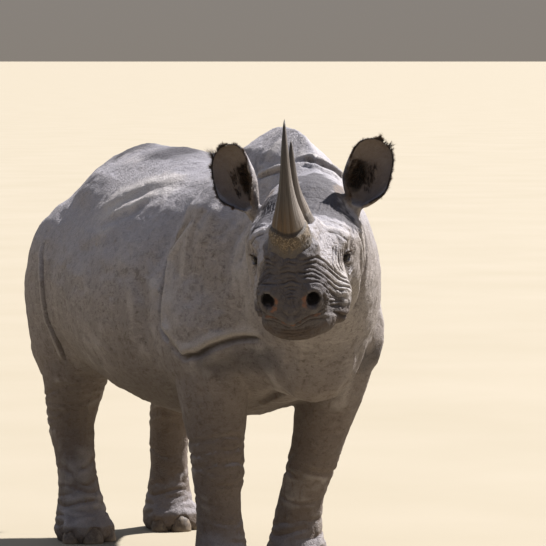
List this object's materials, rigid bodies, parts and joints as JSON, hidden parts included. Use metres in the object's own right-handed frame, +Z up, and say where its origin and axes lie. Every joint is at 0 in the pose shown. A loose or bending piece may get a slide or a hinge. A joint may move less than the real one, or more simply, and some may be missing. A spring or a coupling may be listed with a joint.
{
  "type": "black rhinoceros",
  "caption": "Life-size standing black rhinoceros with its head raised and turned to its right, two horns, cupped ears and a hanging tail.",
  "frame": {"origin": "on the ground below the middle of the animal's bounding box", "axes": "+Z up, the body faces -Y, the animal's left side is +X"},
  "size_m": [1.0442, 3.0086, 1.6288],
  "materials": {
    "hide": "thick dry grey skin in fine folds, dusted pale on top",
    "keratin": "fibrous horn, dark at the tip and frayed at the root",
    "nail": "worn grey-brown toenail",
    "eye": "wet dark brown eye"
  },
  "bodies": {
    "root": {"torso": "hide", "neck": "hide", "head": "hide", "ear_left": "hide", "ear_right": "hide", "eye_left": "eye", "eye_right": "eye", "horn_front": "keratin", "horn_rear": "keratin", "tail": "hide", "leg_front_left": "hide", "leg_front_right": "hide", "leg_hind_left": "hide", "leg_hind_right": "hide", "nail_front_left_outer": "nail", "nail_front_left_middle": "nail", "nail_front_left_inner": "nail", "nail_front_right_outer": "nail", "nail_front_right_middle": "nail", "nail_front_right_inner": "nail", "nail_hind_left_outer": "nail", "nail_hind_left_middle": "nail", "nail_hind_left_inner": "nail", "nail_hind_right_outer": "nail", "nail_hind_right_middle": "nail", "nail_hind_right_inner": "nail"}
  },
  "joints": []
}
